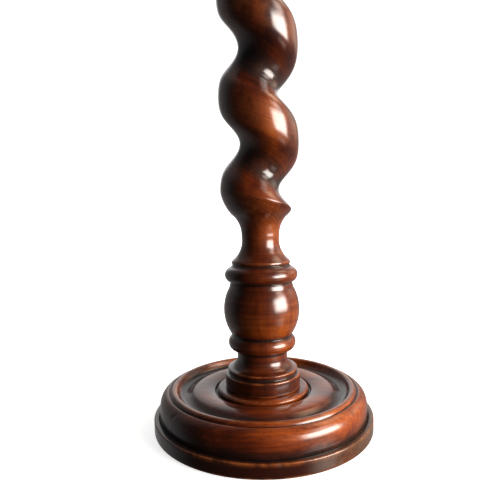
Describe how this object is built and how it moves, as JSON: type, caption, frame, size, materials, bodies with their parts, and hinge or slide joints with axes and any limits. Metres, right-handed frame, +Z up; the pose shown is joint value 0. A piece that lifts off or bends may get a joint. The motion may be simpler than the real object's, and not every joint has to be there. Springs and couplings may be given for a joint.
{
  "type": "candlestick",
  "caption": "Tall turned wooden candlestick with a left-hand barley-twist stem, a round dished base, a drip pan and a cup with a lift-out brass liner.",
  "frame": {"origin": "centre of the footprint, on the surface the candlestick stands on", "axes": "+Z up along the stem's axis; the twist stands out towards +X 170.8 mm above the table; the picture looks along +Y"},
  "size_m": [0.133, 0.133, 0.4057],
  "materials": {
    "wood": "French-polished dark red-brown mahogany, glossy, worn at the edges",
    "baize": "dark green felted wool",
    "steel": "dull steel",
    "brass": "aged polished brass"
  },
  "bodies": {
    "candlestick": {"base_felt": "baize", "base": "wood", "base_screw": "steel", "stem": "wood", "drip_pan": "wood", "candle_cup": "wood"},
    "liner": {"candle_liner": "brass"}
  },
  "joints": [
    {"name": "liner_lift", "type": "slide", "parent": "candlestick", "child": "liner", "axis": [0, 0, 1], "range_m": [0, 0.05]}
  ]
}
